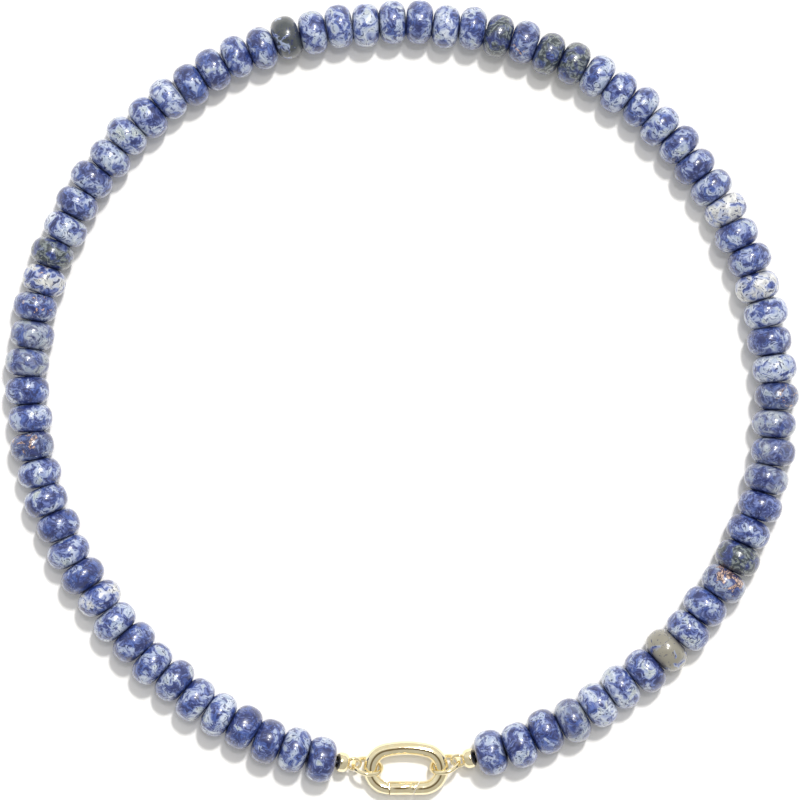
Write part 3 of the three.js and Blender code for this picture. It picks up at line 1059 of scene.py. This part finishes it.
def wire_block(x_from, x_to, reach, half_high):
    """A block round the straight side's wire, which reaches that far to both sides of its middle."""
    return block(x_from, x_to, -end_radius - reach, -end_radius + reach, half_high)


def round_bar(radius, half_high, sides=BAR_SIDES):
    """An upright bar at the pin."""
    bpy.ops.mesh.primitive_cylinder_add(
        vertices=sides, radius=radius * MM, depth=2 * half_high * MM, location=(pin_x * MM, pin_y * MM, 0)
    )
    return place(bpy.context.object, bpy.context.object.matrix_world.copy())


def slant(piece, tip, reach):
    """Gives a block's end at +X the slant of the gate's joint, which crosses the middle of the wire at tip.
    The block reaches that far to both sides of the wire."""
    slope = math.tan(math.radians(GATE_SLANT))
    edit(piece)
    bpy.ops.mesh.select_mode(type="VERT")
    for side in (-1, 1):
        shape = bmesh.from_edit_mesh(piece.data)
        for corner in shape.verts:
            at_tip = corner.co.x > (tip - TINY) * MM
            corner.select_set(at_tip and (corner.co.y + end_radius * MM) * side > 0)
        bmesh.update_edit_mesh(piece.data)
        bpy.ops.transform.translate(value=(side * reach * slope * MM, 0, 0))
    leave_edit()
    return piece


def gate_window(gap):
    """The space of the gate, smaller all round by gap."""
    knuckle = KNUCKLE + gap
    tip = GATE_TIP - gap / math.cos(math.radians(GATE_SLANT))
    window = slant(wire_block(pin_x, tip, CLASP_WIRE, CLASP_WIRE), tip, CLASP_WIRE)
    ears = block(pin_x - KNUCKLE, pin_x + knuckle, -end_radius - 2 * CLASP_WIRE, pin_y, CLASP_WIRE * 2)
    cut(window, ears, "DIFFERENCE")
    return cut(window, round_bar(knuckle, CLASP_WIRE * 2), "DIFFERENCE")


def groove():
    """A shallow groove round the gate, beside its slanted joint."""
    tip = GATE_TIP - GROOVE_BACK
    back = tip - GROOVE_WIDE
    blade = slant(wire_block(tip - 4, tip, CLASP_WIRE, CLASP_WIRE), tip, CLASP_WIRE)
    cut(blade, slant(wire_block(tip - 5, back, CLEAR, CLEAR), back, CLEAR), "DIFFERENCE")
    return cut(blade, model_oval("core", CLASP_WIRE - 2 * GROOVE_DEEP), "DIFFERENCE")


def soften(piece, width=CUT_ROUNDING):
    """Rounds the edges that a cut left."""
    select_only(piece)
    modifier = piece.modifiers.new("soften", "BEVEL")
    modifier.limit_method = "ANGLE"
    modifier.angle_limit = math.radians(40)
    modifier.width = width * MM
    modifier.segments = 2
    bpy.ops.object.modifier_apply(modifier=modifier.name)
    return smooth(piece, 40)


def make_clasp(material):
    at_clasp = Matrix.Translation(clasp_place * MM)
    slot_half = TONGUE_THICK / 2 + GATE_GAP
    body = model_oval("oval_of_clasp")
    cut(body, gate_window(0), "DIFFERENCE")
    slot_from = pin_x - TONGUE_REACH - GATE_GAP
    slot_to = pin_x + KNUCKLE + GATE_GAP
    cut(body, wire_block(slot_from, slot_to, CLEAR, slot_half), "DIFFERENCE")
    cut(body, round_bar(PIN_WIDE / 2 + PIN_GAP, CLASP_WIRE), "DIFFERENCE")
    place(body, at_clasp)
    finish_piece(soften(body), "necklace", material, "gold_plate", "clasp_body")

    tongue = round_bar(TONGUE_REACH, TONGUE_THICK / 2)
    bridge_to = pin_x + KNUCKLE + 3 * GATE_GAP
    cut(tongue, wire_block(pin_x + GATE_GAP, bridge_to, CLEAR, TONGUE_THICK / 2), "UNION")
    cut(tongue, model_oval("oval"), "INTERSECT")
    gate = model_oval("gate_of_clasp")
    cut(gate, gate_window(GATE_GAP), "INTERSECT")
    cut(gate, groove(), "DIFFERENCE")
    cut(gate, tongue, "UNION")
    cut(gate, round_bar(PIN_WIDE / 2 + PIN_GAP, CLASP_WIRE), "DIFFERENCE")
    place(gate, at_clasp)
    finish_piece(soften(gate), "gate", material, "gold_plate", "clasp_gate")

    pin = round_bar(PIN_WIDE / 2, CLASP_WIRE, PIN_SIDES)
    cut(pin, model_oval("oval"), "INTERSECT")
    pin.name = "pin_of_gate"
    place(pin, at_clasp)
    finish_piece(soften(pin, PIN_ROUNDING), "necklace", material, "gold_plate", "gate_pin")


# The stage


def make_camera():
    lens = bpy.data.cameras.new("camera")
    lens.sensor_width = SENSOR
    lens.lens = SENSOR * (VIEW_HIGH - STONE_LEVEL) / VIEW_WIDE
    lens.clip_end = VIEW_REACH
    camera = bpy.data.objects.new("camera", lens)
    camera.location = (VIEW_MIDDLE[0] * MM, VIEW_MIDDLE[1] * MM, VIEW_HIGH * MM)
    bpy.context.scene.collection.objects.link(camera)
    bpy.context.scene.camera = camera


def make_floor():
    bpy.ops.mesh.primitive_plane_add(size=FLOOR_WIDE)
    floor = bpy.context.object
    floor.name = "floor"
    material, _, shader = new_material("white_board")
    shader.inputs["Base Color"].default_value = FLOOR_COLOUR
    shader.inputs["Roughness"].default_value = FLOOR_ROUGHNESS
    shader.inputs["Specular IOR Level"].default_value = 0
    floor.data.materials.append(material)


def make_light(name, strength, off_vertical, wide):
    """A soft light from the far side and a little to the right. Angles are in degrees."""
    sun = bpy.data.lights.new(name, "SUN")
    sun.energy = strength
    sun.color = LIGHT_COLOUR
    sun.angle = math.radians(wide)
    light = bpy.data.objects.new(name, sun)
    lean = math.radians(off_vertical)
    to_right = math.radians(LIGHT_TO_RIGHT)
    comes_from = Vector((
        math.sin(lean) * math.sin(to_right),
        math.sin(lean) * math.cos(to_right),
        math.cos(lean),
    ))
    light.rotation_mode = "QUATERNION"
    light.rotation_quaternion = comes_from.to_track_quat("Z", "Y")
    bpy.context.scene.collection.objects.link(light)


def make_surroundings():
    """A white studio with a bright strip on its far side and a dark spot overhead, where the camera hangs.
    The camera itself sees plain white."""
    world = bpy.data.worlds.new("studio")
    bpy.context.scene.world = world
    world.use_nodes = True
    tree = world.node_tree
    tree.nodes.clear()
    output = add(tree, "ShaderNodeOutputWorld")
    place_node = add(tree, "ShaderNodeTexCoord")
    direction = add(tree, "ShaderNodeSeparateXYZ")
    wire(tree, place_node.outputs["Generated"], direction.inputs[0])
    across, away, upwards = direction.outputs
    walls = mixed(tree, mask(tree, away, "window_side"), *COLOUR_PAIRS["walls"])
    strip = product(tree, mask(tree, away, "strip_begins"), mask(tree, away, "strip_ends"))
    strip = product(tree, strip, mask(tree, maths(tree, "ABSOLUTE", across), "strip_long"))
    strip = product(tree, strip, mask(tree, upwards, "strip_high"))
    walls = mixed(tree, strip, walls, COLOURS["strip"])
    overhead = add(tree, "ShaderNodeVectorMath", operation="DOT_PRODUCT")
    wire(tree, place_node.outputs["Generated"], overhead.inputs[0])
    overhead.inputs[1].default_value = Vector(SPOT_TOWARDS).normalized()
    begins, full = (math.cos(math.radians(degrees)) for degrees in SPOT_DEGREES)
    spot = ramp_between(tree, overhead.outputs["Value"], begins, full)
    colour = mixed(tree, spot, walls, COLOURS["spot"])
    studio = add(tree, "ShaderNodeBackground")
    wire(tree, colour, studio.inputs["Color"])
    plain = add(tree, "ShaderNodeBackground")
    plain.inputs["Color"].default_value = (1, 1, 1, 1)
    ray = add(tree, "ShaderNodeLightPath")
    chosen = add(tree, "ShaderNodeMixShader")
    wire(tree, ray.outputs["Is Camera Ray"], chosen.inputs[0])
    wire(tree, studio.outputs[0], chosen.inputs[1])
    wire(tree, plain.outputs[0], chosen.inputs[2])
    wire(tree, chosen.outputs[0], output.inputs["Surface"])


make_camera()
make_floor()
for light in LIGHTS:
    make_light(*light)
make_surroundings()
bpy.context.scene.view_settings.view_transform = "Standard"

gold = gold_material()
make_stones(stone_material())
make_thread(thread_material())
for side, word in ((LEFT, "left"), (RIGHT, "right")):
    make_end_cap(side, word, gold)
    make_jump_ring(side, word, gold)
make_clasp(gold)
